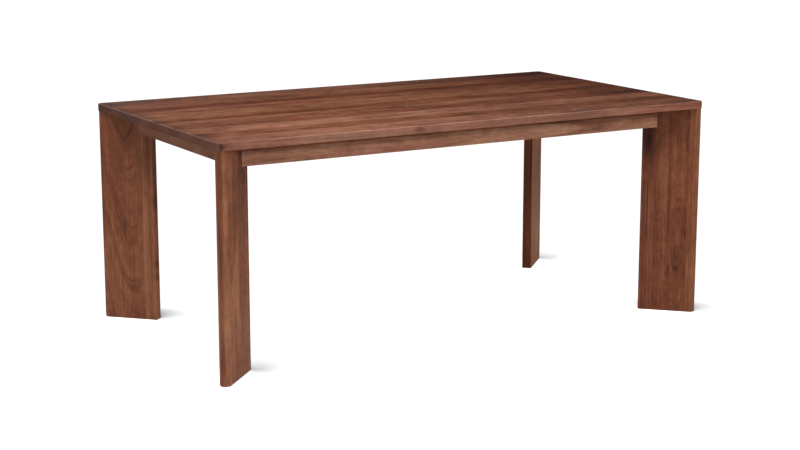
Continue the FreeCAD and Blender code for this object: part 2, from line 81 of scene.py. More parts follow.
class Graph:
    """Adds and joins the nodes of one tree."""

    def __init__(self, tree: bpy.types.NodeTree) -> None:
        """Take the tree of a material, a world or a group."""
        self.tree = tree

    def feed(self, socket: Socket, value: Any) -> None:
        """Give an input a link or a plain value.

        Args:
            socket: The input.
            value: An output to link, or a number, vector or colour to set.
        """
        if isinstance(value, bpy.types.NodeSocket):
            self.tree.links.new(value, socket)
        elif isinstance(value, tuple) and len(value) == 3 and socket.type == "RGBA":
            socket.default_value = (*value, 1.0)
        else:
            socket.default_value = value

    def add(self, kind: str, inputs: Mapping[Any, Any] | None = None, **settings: Any) -> Node:
        """Add a node.

        Args:
            kind: The node's type name.
            inputs: Values or links for its inputs, by name or number.
            settings: Properties of the node.

        Returns:
            The new node.
        """
        node = self.tree.nodes.new(kind)
        for name, value in settings.items():
            setattr(node, name, value)
        for key, value in (inputs or {}).items():
            self.feed(node.inputs[key], value)
        return node

    def math(self, operation: str, *values: Any, clamp: bool = False) -> Socket:
        """Add a Math node, whose answer may be held between 0 and 1."""
        node = self.add("ShaderNodeMath", dict(enumerate(values)), operation=operation, use_clamp=clamp)
        return node.outputs[0]

    def vector(self, operation: str, *values: Any) -> Socket:
        """Add a Vector Math node, whose answer is a number for a dot product or a length."""
        node = self.add("ShaderNodeVectorMath", dict(enumerate(values)), operation=operation)
        return node.outputs["Value" if operation in ("DOT_PRODUCT", "LENGTH") else "Vector"]

    def times(self, *factors: Any) -> Any:
        """Multiply links and numbers."""
        return reduce(lambda product, factor: self.math("MULTIPLY", product, factor), factors)

    def times_plus(self, value: Any, factor: Any, term: Any, clamp: bool = False) -> Socket:
        """Multiply two values and add a third."""
        return self.math("MULTIPLY_ADD", value, factor, term, clamp=clamp)

    def total(self, *terms: Any) -> Any:
        """Add up links, numbers and tuples of them, which are multiplied first."""
        parts = (self.times(*term) if isinstance(term, tuple) else term for term in terms)
        return reduce(lambda answer, part: self.math("ADD", answer, part), parts)

    def noise(self, place: Socket, along: float, across: float, seed: Socket, shift: float = 0.0,
              detail: float = 3.0, roughness: float = 0.5) -> Socket:
        """Add cloudy noise about zero.

        Args:
            place: Where it is read.
            along: Clouds to the metre along the first axis.
            across: Clouds to the metre along the other two.
            seed: Which clouds.
            shift: What is added to the seed.
            detail: Number of octaves.
            roughness: How strong the finer octaves are.

        Returns:
            A value from about -0.5 to 0.5.
        """
        spot = self.vector("MULTIPLY", place, (along, across, across))
        which = self.math("ADD", seed, shift) if shift else seed
        return self._about_zero("4D", {"Vector": spot, "W": which, "Detail": detail, "Roughness": roughness})

    def wave(self, place: Socket, detail: float = 2.0) -> Socket:
        """Add uneven waves about zero along one number, one wave to the unit."""
        return self._about_zero("1D", {"W": place, "Detail": detail})

    def _about_zero(self, dimensions: str, inputs: Mapping[str, Any]) -> Socket:
        """Add a Noise Texture from about -0.5 to 0.5."""
        noise = self.add("ShaderNodeTexNoise", {"Scale": 1.0, **inputs}, noise_dimensions=dimensions)
        return self.math("SUBTRACT", noise.outputs["Fac"], 0.5)

    def span(self, value: Any, low: float, high: float, to_low: float = 0.0, to_high: float = 1.0) -> Socket:
        """Ease a value from the range of low to high into the range of to_low to to_high."""
        inputs = {"Value": value, "From Min": low, "From Max": high, "To Min": to_low, "To Max": to_high}
        return self.add("ShaderNodeMapRange", inputs, interpolation_type="SMOOTHSTEP").outputs["Result"]

    def ramp(self, value: Any, stops: Stops) -> Socket:
        """Turn a value into a colour.

        Args:
            value: What is read, from 0 to 1.
            stops: Places and colours, from low to high.

        Returns:
            The colour.
        """
        node = self.add("ShaderNodeValToRGB", {0: value})
        elements = node.color_ramp.elements
        for number, (place, colour) in enumerate(stops):
            stop = elements[number] if number < len(elements) else elements.new(place)
            stop.position = place
            stop.color = (*colour, 1.0)
        return node.outputs["Color"]

    def blend(self, factor: Any, first: Any, second: Any, mode: str = "MIX") -> Socket:
        """Mix two colours by the share of the second."""
        inputs = {MIX_FACTOR: factor, MIX_FIRST: first, MIX_SECOND: second}
        return self.add("ShaderNodeMix", inputs, data_type="RGBA", blend_type=mode,
                        clamp_factor=False).outputs[MIX_RESULT]

    def mix_shaders(self, factor: Socket, first: Node, second: Node) -> Node:
        """Mix two shaders by the share of the second."""
        return self.add("ShaderNodeMixShader", {0: factor, 1: first.outputs[0], 2: second.outputs[0]})


class Effect:
    """A shader node group that is built where it is first placed, and shared from then on."""

    @classmethod
    def draw(cls, tree: Graph, given: Sockets) -> dict[str, Socket]:
        """Fill the group.

        Args:
            tree: The group's tree.
            given: The group's inputs, by name.

        Returns:
            What each output carries.
        """
        raise NotImplementedError

    @classmethod
    def place(cls, graph: Graph, values: Mapping[str, Any]) -> Sockets:
        """Put the group into a material.

        Args:
            graph: The material's tree.
            values: A link, number or vector for each of the group's inputs.

        Returns:
            The group's outputs, by name.
        """
        group = bpy.data.node_groups.get(cls.__name__) or cls._build(values)
        return graph.add("ShaderNodeGroup", values, node_tree=group).outputs

    @classmethod
    def _build(cls, values: Mapping[str, Any]) -> bpy.types.NodeTree:
        """Make the group, with an input for each value and an output for whatever it draws.

        Args:
            values: What its inputs are given.

        Returns:
            The new group.
        """
        group = bpy.data.node_groups.new(cls.__name__, "ShaderNodeTree")
        for name, value in values.items():
            group.interface.new_socket(name, in_out="INPUT", socket_type=socket_type(value))
        tree = Graph(group)
        drawn = cls.draw(tree, tree.add("NodeGroupInput").outputs)
        for name, socket in drawn.items():
            group.interface.new_socket(name, in_out="OUTPUT", socket_type=socket_type(socket))
        end = tree.add("NodeGroupOutput")
        for name, socket in drawn.items():
            tree.feed(end.inputs[name], socket)
        return group


def socket_type(value: Any) -> str:
    """Name the kind of socket that carries a link, vector or number."""
    if isinstance(value, bpy.types.NodeSocket):
        return SOCKET_TYPES[value.type]
    return SOCKET_TYPES["VECTOR" if isinstance(value, tuple) else "VALUE"]


# -------------------- shared effects


class GrainFrame(Effect):
    """Turns a place on a piece into along, across and out of its grain."""

    @classmethod
    def draw(cls, tree: Graph, given: Sockets) -> dict[str, Socket]:
        """Measure the place along each axis of the grain."""
        away = tree.vector("SUBTRACT", given["Place"], given["Origin"])
        parts = [tree.vector("DOT_PRODUCT", away, given[axis]) for axis in ("Along", "Across", "Out")]
        return {"Grain": tree.add("ShaderNodeCombineXYZ", dict(enumerate(parts))).outputs[0]}


class KnotLift(Effect):
    """Swells the growth rings round a knot and marks its dark heart."""

    @classmethod
    def draw(cls, tree: Graph, given: Sockets) -> dict[str, Socket]:
        """Measure the distance to the knot, stretched along the grain and a little uneven."""
        away = tree.vector("SUBTRACT", given["Grain"], given["Centre"])
        squeezed = tree.vector("MULTIPLY", away, (0.45, 1.0, 0.35))
        uneven = tree.noise(given["Grain"], 30.0, 60.0, given["Seed"])
        distance = tree.math("DIVIDE", tree.vector("LENGTH", squeezed), given["Size"])
        fall = tree.math("POWER", tree.times_plus(distance, 0.55, 1.0), -3.0)
        return {"Lift": tree.times(fall, given["Lift"]),
                "Heart": tree.span(tree.times_plus(uneven, 1.4, distance), 0.25, 1.15, 1.0, 0.0)}


class StainAndLightPatch(Effect):
    """A long soft patch of darker or paler colour: the wood's own tone, painted shade or a painted highlight.
    """

    @classmethod
    def draw(cls, tree: Graph, given: Sockets) -> dict[str, Socket]:
        """Fade a long oval whose outline is broken along the grain."""
        away = tree.vector("SUBTRACT", given["Grain"], given["Centre"])
        sides = zip(tree.add("ShaderNodeSeparateXYZ", {0: away}).outputs, ("Length", "Width", "Depth"))
        parts = [tree.math("DIVIDE", side, given[size]) for side, size in sides]
        distance = tree.math("SQRT", tree.total(*((part, part) for part in parts)))
        broken = tree.noise(given["Grain"], 7.0, 70.0, given["Seed"], detail=4.0, roughness=0.6)
        patch = tree.span(tree.times_plus(broken, 1.8, distance), 0.2, 1.35, 1.0, 0.0)
        return {name: tree.times(patch, given[name]) for name in ("Shade", "Bloom")}


class GrowthRings(Effect):
    """The year rings of a log, cut by the faces of the piece."""

    @classmethod
    def draw(cls, tree: Graph, given: Sockets) -> dict[str, Socket]:
        """Lay soft bands, thin lines and fine rings by the distance from a pith that leans and wavers."""
        grain, seed, waver = given["Grain"], given["Seed"], given["Waver"]
        along, across, out = tree.add("ShaderNodeSeparateXYZ", {0: grain}).outputs
        sway = tree.noise(grain, 1.6, 9.0, seed, detail=2.0)
        dip = tree.noise(grain, 1.1, 6.0, seed, 31.0, detail=2.0)
        ripple = tree.noise(grain, 5.0, 55.0, seed, 57.0, detail=2.0)
        side = tree.total(across, (given["Pith Across"], -1.0), (along, given["Lean"], -1.0),
                          (sway, waver, 3.0))
        from_swell = tree.math("SUBTRACT", along, given["Swell Place"])
        deep = tree.total(given["Pith Depth"], out, (along, given["Taper"]),
                          (from_swell, from_swell, given["Swell"]), (dip, waver, 4.0))
        square = tree.times_plus(side, side, tree.times(deep, deep))
        radius = tree.total(tree.math("SQRT", square), given["Lift"], (ripple, waver, 0.5))
        turn = tree.times_plus(seed, 7.3, tree.math("DIVIDE", radius, given["Band Width"]))
        ridge = tree.math("ABSOLUTE", tree.wave(tree.times_plus(turn, 1.6, 40.0), 1.0))
        patch = tree.noise(grain, 3.5, 14.0, seed, 71.0, detail=1.0)
        line = tree.times(tree.span(ridge, 0.0, 0.05, 1.0, 0.0), tree.span(patch, -0.06, 0.12))
        return {"Radius": radius, "Band": tree.wave(turn, 2.5), "Line": line,
                "Late Wood": cls._years(tree, radius, given)}

    @staticmethod
    def _years(tree: Graph, radius: Socket, given: Sockets) -> Socket:
        """Darken each year towards its end, some years more than others.

        Args:
            tree: The group's tree.
            radius: Distance from the pith.
            given: The group's inputs.

        Returns:
            Where the late wood is, from 0 to 1.
        """
        uneven = tree.wave(tree.times_plus(radius, 55.0, given["Seed"]))
        count = tree.math("DIVIDE", tree.total(radius, (uneven, 0.012)), given["Ring Width"])
        part = tree.math("FRACT", count)
        year = tree.math("ADD", tree.math("FLOOR", count), given["Seed"])
        weight = tree.add("ShaderNodeTexWhiteNoise", {"W": year}, noise_dimensions="1D").outputs["Value"]
        return tree.times(tree.math("POWER", part, 3.0), tree.span(part, 0.9, 1.0, 1.0, 0.0), weight)


class RingArc(Effect):
    """One darker or paler year that follows the rings."""

    @classmethod
    def draw(cls, tree: Graph, given: Sockets) -> dict[str, Socket]:
        """Shade the wood near one radius, stronger in some places than in others."""
        off = tree.math("ABSOLUTE", tree.math("SUBTRACT", given["Radius"], given["At"]))
        near = tree.span(tree.math("DIVIDE", off, given["Width"]), 0.1, 1.0, 1.0, 0.0)
        patch = tree.noise(given["Grain"], 5.0, 22.0, given["Seed"], detail=1.0)
        return {"Shade": tree.times(near, tree.span(patch, -0.2, 0.12, 0.35, 1.0), given["Shade"])}


class WalnutTone(Effect):
    """Colour, gloss and pores of oiled walnut."""

    STOPS = (
        (0.0, (0.03, 0.0088, 0.0052)), (0.25, (0.098, 0.0285, 0.0126)), (0.5, (0.2, 0.0635, 0.0265)),
        (0.75, (0.33, 0.123, 0.058)), (1.0, (0.47, 0.22, 0.122)))
    TINTS = ((0.0, (0.96, 1.07, 0.92)), (0.5, (1.0, 1.0, 1.0)), (1.0, (1.05, 0.91, 0.95)))
    BLOOM = (0.97, 1.16, 1.4)
    END_STOPS = ((0.25, (0.06, 0.0208, 0.0136)), (0.75, (0.18, 0.067, 0.043)))

    @classmethod
    def draw(cls, tree: Graph, given: Sockets) -> dict[str, Socket]:
        """Lay clouds, mottle, stripes, streaks, flecks and pores over the rings, and darken the end grain."""
        grain, seed, late, end_grain = (given[name] for name in ("Grain", "Seed", "Late Wood", "End Grain"))
        cloud = tree.noise(grain, 2.6, 9.0, seed, detail=2.0)
        mottle = tree.noise(grain, 10.0, 17.0, seed, 1.0, roughness=0.6)
        stripe = tree.noise(grain, 0.7, 45.0, seed, 3.0, roughness=0.65)
        streak = tree.noise(grain, 4.0, 140.0, seed, 5.0, roughness=0.6)
        fleck = tree.noise(grain, 30.0, 130.0, seed, 7.0, detail=2.0)
        fibre = tree.noise(grain, 9.0, 800.0, seed, 8.0, detail=2.0)
        chatter = tree.noise(grain, 48.0, 34.0, seed, 10.0, detail=2.0)
        pores = tree.span(tree.noise(grain, 38.0, 1500.0, seed, 13.0, detail=1.0), 0.09, 0.2)
        warmth = tree.noise(grain, 1.6, 14.0, seed, 21.0, detail=2.0)
        speck = tree.noise(grain, 3.0, 500.0, seed, 34.0)
        rings = tree.total((given["Band"], 0.36), (given["Line"], -0.2), (late, -0.09))
        rings = tree.times(rings, given["Figure"])
        short = tree.times(tree.total((mottle, 0.34), (fleck, 0.32), (chatter, 0.18)), given["Mottle"])
        value = tree.total(0.5, given["Lightness"], given["StainAndLight"], rings, short, (cloud, 0.42),
                           (stripe, 0.32), (streak, 0.32), (fibre, 0.14), (pores, -0.06),
                           (given["Heart"], -0.42))
        lean = tree.times_plus(warmth, 1.2, tree.math("ADD", given["Redness"], 0.5), clamp=True)
        tinted = tree.blend(1.0, tree.ramp(value, cls.STOPS), tree.ramp(lean, cls.TINTS), "MULTIPLY")
        bloomed = tree.blend(given["Bloom"], tinted, tree.blend(1.0, tinted, cls.BLOOM, "MULTIPLY"))
        end_value = tree.total(0.5, (given["Lightness"], 0.5), (rings, 0.8), (speck, 0.5))
        return {"Colour": tree.blend(end_grain, bloomed, tree.ramp(end_value, cls.END_STOPS)),
                "Roughness": tree.total(0.47, (streak, 0.16), (pores, 0.12), (end_grain, 0.16),
                                        (late, -0.05)),
                "Height": tree.total((fibre, 0.5), (pores, -0.9), (late, 0.15), (streak, 0.4))}


class BeechTone(Effect):
    """Colour, gloss and flecks of plain beech."""

    STOPS = ((0.0, (0.24, 0.125, 0.065)), (0.5, (0.47, 0.285, 0.155)), (1.0, (0.62, 0.42, 0.26)))

    @classmethod
    def draw(cls, tree: Graph, given: Sockets) -> dict[str, Socket]:
        """Scatter short brown flecks over pale streaks."""
        grain, seed, end_grain = (given[name] for name in ("Grain", "Seed", "End Grain"))
        cloud = tree.noise(grain, 3.0, 20.0, seed, detail=2.0)
        streak = tree.noise(grain, 6.0, 260.0, seed, 2.0, detail=2.0)
        fleck = tree.span(tree.noise(grain, 260.0, 1100.0, seed, 4.0, detail=1.0), 0.12, 0.2)
        value = tree.total(0.58, (cloud, 0.5), (streak, 0.4), (fleck, -0.22), (end_grain, -0.2))
        return {"Colour": tree.ramp(value, cls.STOPS),
                "Roughness": tree.total(0.62, (streak, 0.2), (end_grain, 0.12)),
                "Height": tree.total((streak, 0.6), (fleck, -0.5))}


class SurfaceWear(Effect):
    """Clouding, grit and rubbed patches of a plated or moulded piece."""

    @classmethod
    def draw(cls, tree: Graph, given: Sockets) -> dict[str, Socket]:
        """Mix clouds of three sizes."""
        place, seed = given["Place"], given["Seed"]
        cloud = tree.noise(place, 160.0, 160.0, seed)
        grit = tree.noise(place, 1800.0, 1800.0, seed, 6.0, detail=2.0)
        rub = tree.noise(place, 90.0, 90.0, seed, 9.0)
        return {"Shade": tree.total(0.5, (cloud, 1.1), (grit, 0.35)), "Rub": tree.span(rub, -0.05, 0.2),
                "Height": tree.total(grit, (cloud, 0.3))}


# -------------------- finishes


class Laid(NamedTuple):
    """A surface in the grain: its place, and how far it is end grain, a long edge and an arris beside one."""

    grain: Socket
    end_grain: Socket
    edge: Socket
    arris: Socket


@dataclass(frozen=True)
class Lie:
    """How the grain of a piece lies in the frame.

    Args:
        origin: Where along, across and out are zero.
        along: The way the grain runs.
        across: The way the width runs.
        out: The way the show face looks.
    """

    origin: Point
    along: Point
    across: Point
    out: Point

    END_TURN = (0.3, 0.65)
    EDGE_TURN = (0.6, 0.95)
    ARRIS_TURN = (0.15, 0.4)

    def lay(self, graph: Graph) -> Laid:
        """Measure a surface in the grain.

        Args:
            graph: A material's tree.

        Returns:
            What it measures.
        """
        place = graph.add("ShaderNodeTexCoord").outputs
        axes = {"Along": self.along, "Across": self.across, "Out": self.out}
        grain = GrainFrame.place(graph, {"Place": place["Object"], "Origin": self.origin, **axes})["Grain"]
        end, edge = (graph.math("ABSOLUTE", graph.vector("DOT_PRODUCT", place["Normal"], axis))
                     for axis in (self.along, self.across))
        on_edge = graph.span(edge, *self.EDGE_TURN)
        arris = graph.math("SUBTRACT", graph.span(edge, *self.ARRIS_TURN), on_edge)
        return Laid(grain, graph.span(end, *self.END_TURN), on_edge, arris)


@dataclass(frozen=True)
class Figure:
    """Where the pith of the log lay, seen from the show face of the piece.

    Args:
        across: Place of the pith across the piece.
        depth: Depth of the pith under the show face.
        taper: Depth gained for each metre along the grain.
        lean: Sideways shift for each metre along the grain.
        swell: Depth gained with the square of the distance from the swell's place.
        swell_place: Place of the swell along the grain.
        ring: Width of one year ring.
        band: Width of a pale or dark band of years.
        waver: How far the rings wander.
        contrast: Strength of the rings.
    """

    across: float = 0.05
    depth: float = 0.12
    taper: float = 0.02
    lean: float = 0.0
    swell: float = 0.0
    swell_place: float = 0.0
    ring: float = 0.004
    band: float = 0.012
    waver: float = 0.006
    contrast: float = 1.0

    def inputs(self) -> dict[str, float]:
        """Its values by the names of the growth rings' inputs."""
        return {"Pith Across": self.across, "Pith Depth": self.depth, "Taper": self.taper, "Lean": self.lean,
                "Swell": self.swell, "Swell Place": self.swell_place, "Ring Width": self.ring,
                "Band Width": self.band, "Waver": self.waver}

    def reach(self, along: float) -> float:
        """Radius of the ring whose tip is at a place along the grain."""
        return self.depth + self.taper * along + self.swell * (along - self.swell_place) ** 2


@dataclass(frozen=True)
class Knot:
    """A knot: its place along, across and out of the show face, its size and its lift of the rings."""

    along: float
    across: float
    size: float = 0.008
    lift: float = 0.018
    out: float = 0.0

    def inputs(self) -> dict[str, Any]:
        """Its values by the names of the knot lift's inputs."""
        return {"Centre": (self.along, self.across, self.out), "Size": self.size, "Lift": self.lift}


@dataclass(frozen=True)
class StainAndLight:
    """A soft patch of the wood's own tone, painted shade or a painted highlight: place, half length, half
    width, shade, place and half depth inward, and pale bloom.
    """

    along: float
    across: float
    length: float
    width: float
    shade: float
    out: float = 0.0
    depth: float = 1.0
    bloom: float = 0.0

    def inputs(self) -> dict[str, Any]:
        """Its values by the names of the inputs of the patch effect."""
        return {"Centre": (self.along, self.across, self.out), "Length": self.length, "Width": self.width,
                "Depth": self.depth, "Shade": self.shade, "Bloom": self.bloom}


@dataclass(frozen=True)
class Arc:
    """A dark or pale year: where its tip is along the grain, its half width and its shade."""

    tip: float
    width: float = 0.0015
    shade: float = -0.12


@dataclass(frozen=True)
class Wood:
    """A wooden finish.

    Args:
        seed: Which noise it is cut from.
    """

    seed: float

    BUMP = (0.3, 0.0003)
    SPECULAR = 0.3

    def tone(self, graph: Graph, laid: Laid) -> Sockets:
        """Give the colour, roughness and height of a surface."""
        raise NotImplementedError

    def material(self, name: str, lie: Lie) -> Material:
        """Make the material.

        Args:
            name: What to call it.
            lie: How the grain lies in the frame.

        Returns:
            The material.
        """
        material, graph, surface = new_material(name)
        tone = self.tone(graph, lie.lay(graph))
        finish_surface(graph, surface, tone, self.BUMP, {"Specular IOR Level": self.SPECULAR})
        return material


@dataclass(frozen=True)
class Walnut(Wood):
    """One oiled walnut board.

    Args:
        lightness: Paler above zero, darker below.
        redness: Redder above zero, more olive below.
        bloom: Share of a pale greyish bloom.
        figure: Its place in the log.
        knots: Its knots.
        stains_and_light: Its darker and paler patches, of the wood's own tone and of painted shade and
            highlight.
        arcs: Its most visible years.
        mottle: Strength of the short mottled figure.
        edge_painted_light: Painted light and shade on its long edges, as lightness gained there.
        edge_painted_redness: Redness gained on its long edges, part of their painted light and shade.
        edge_painted_bloom: Bloom gained on its long edges, part of their painted light and shade.
        arris_painted_highlight: Painted highlight on its long arrises, as lightness gained there.
    """

    lightness: float = 0.0
    redness: float = 0.0
    bloom: float = 0.0
    figure: Figure = field(default_factory=Figure)
    knots: tuple[Knot, ...] = ()
    stains_and_light: tuple[StainAndLight, ...] = ()
    arcs: tuple[Arc, ...] = ()
    mottle: float = 0.9
    edge_painted_light: float = 0.0
    edge_painted_redness: float = 0.0
    edge_painted_bloom: float = 0.0
    arris_painted_highlight: float = 0.0

    EDGE_CALM = 0.65
    BUMP = (0.25, 0.0004)
    SPECULAR = 0.25

    def tone(self, graph: Graph, laid: Laid) -> Sockets:
        """Lay rings, knots, stains and colour.

        Args:
            graph: The material's tree.
            laid: The surface in the grain.

        Returns:
            The colour, roughness and height.
        """
        grain, end_grain, edge, arris = laid
        knots = self._place_each(graph, grain, KnotLift, [knot.inputs() for knot in self.knots])
        lift = graph.total(0.0, *(knot["Lift"] for knot in knots))
        figure = self.figure.inputs()
        rings = GrowthRings.place(graph, {"Grain": grain, "Seed": self.seed, "Lift": lift, **figure})
        stains_and_light = self._place_each(graph, grain, StainAndLightPatch, [stain_and_light.inputs() for stain_and_light in self.stains_and_light])
        arcs = self._place_each(graph, grain, RingArc, [
            {"Radius": rings["Radius"], "At": self.figure.reach(arc.tip), "Width": arc.width,
             "Shade": arc.shade} for arc in self.arcs])
        bloom = graph.total(self.bloom, *(stain_and_light["Bloom"] for stain_and_light in stains_and_light))
        # Painted light and shade by the way a face looks: long edges get their own lightness, redness and
        # bloom, and long arrises a painted highlight.
        lightness = graph.times_plus(edge, self.edge_painted_light, self.lightness)
        return WalnutTone.place(graph, {
            "Grain": grain, "Seed": self.seed, "Band": rings["Band"], "Line": rings["Line"],
            "Late Wood": rings["Late Wood"], "Figure": self.figure.contrast,
            "Mottle": graph.times_plus(edge, -self.EDGE_CALM * self.mottle, self.mottle),
            "Lightness": graph.times_plus(arris, self.arris_painted_highlight, lightness),
            "Redness": graph.times_plus(edge, self.edge_painted_redness, self.redness),
            "Bloom": graph.times_plus(edge, self.edge_painted_bloom, bloom),
            "StainAndLight": graph.total(0.0, *(mark["Shade"] for mark in [*stains_and_light, *arcs])),
            "Heart": reduce(lambda most, knot: graph.math("MAXIMUM", most, knot["Heart"]), knots, 0.0),
            "End Grain": end_grain})

    def _place_each(self, graph: Graph, grain: Socket, effect: type[Effect],
                    marks: Sequence[Mapping[str, Any]]) -> list[Sockets]:
        """Place an effect once for each mark, with noise of its own."""
        return [effect.place(graph, {"Grain": grain, "Seed": self.seed + number, **mark})
                for number, mark in enumerate(marks)]


@dataclass(frozen=True)
class Beech(Wood):
    """Plain sanded beech."""

    def tone(self, graph: Graph, laid: Laid) -> Sockets:
        """Scatter its flecks over the surface."""
        values = {"Grain": laid.grain, "Seed": self.seed, "End Grain": laid.end_grain}
        return BeechTone.place(graph, values)


@dataclass(frozen=True)
class Plain:
    """A plated or moulded finish.

    Args:
        name: What to call it.
        dark: Its colour in the clouds' dips.
        pale: Its colour on their tops.
        smooth: Roughness where it is rubbed.
        rough: Roughness elsewhere.
        metal: 1 for metal, 0 for plastic.
        grit: Height of the grit.
    """

    name: str
    dark: Colour
    pale: Colour
    smooth: float
    rough: float
    metal: float
    grit: float = 0.00003

    SEED = 3.0
    DARK_AT = 0.15
    PALE_AT = 0.85
    BUMP_STRENGTH = 0.5

    def material(self) -> Material:
        """Make the material.

        Returns:
            The material.
        """
        material, graph, surface = new_material(self.name)
        place = graph.add("ShaderNodeTexCoord").outputs["Object"]
        wear = SurfaceWear.place(graph, {"Place": place, "Seed": self.SEED})
        stops = ((self.DARK_AT, self.dark), (self.PALE_AT, self.pale))
        tone = {"Colour": graph.ramp(wear["Shade"], stops), "Height": wear["Height"],
                "Roughness": graph.span(wear["Rub"], 0.0, 1.0, self.rough, self.smooth)}
        finish_surface(graph, surface, tone, (self.BUMP_STRENGTH, self.grit), {"Metallic": self.metal})
        return material


ZINC = Plain("zinc_plate", (0.38, 0.39, 0.41), (0.66, 0.67, 0.69), 0.26, 0.42, 1.0)
YELLOW_ZINC = Plain("yellow_zinc_plate", (0.42, 0.28, 0.1), (0.72, 0.56, 0.26), 0.24, 0.4, 1.0)
BROWN_NYLON = Plain("brown_nylon", (0.08, 0.062, 0.052), (0.135, 0.11, 0.095), 0.42, 0.6, 0.0, 0.00006)


def new_material(name: str) -> tuple[Material, Graph, Node]:
    """Start a material.

    Args:
        name: What to call it.

    Returns:
        The material, its tree and its surface shader.
    """
    material = bpy.data.materials.new(name)
    material.use_nodes = True
    return material, Graph(material.node_tree), material.node_tree.nodes["Principled BSDF"]


def finish_surface(graph: Graph, surface: Node, tone: Sockets, bump: tuple[float, float],
                   constants: Mapping[str, float]) -> None:
    """Join a tone to a surface shader, and set what is the same all over.

    Args:
        graph: The material's tree.
        surface: Its surface shader.
        tone: The colour, roughness and height.
        bump: Strength and height of the bump.
        constants: Values for other inputs of the shader, by name.
    """
    relief = graph.add("ShaderNodeBump", {"Height": tone["Height"], "Strength": bump[0], "Distance": bump[1]})
    inputs = {"Base Color": tone["Colour"], "Roughness": tone["Roughness"],
              "Normal": relief.outputs["Normal"], **constants}
    for name, value in inputs.items():
        graph.feed(surface.inputs[name], value)


def dress(node: bpy.types.Object, material: Material) -> None:
    """Give every material slot of a piece one finish.

    Args:
        node: The piece.
        material: The finish.
    """
    for slot in node.material_slots:
        slot.material = material
    LOG.info("%s wears %s", node.name, material.name)


# -------------------- sub-assemblies


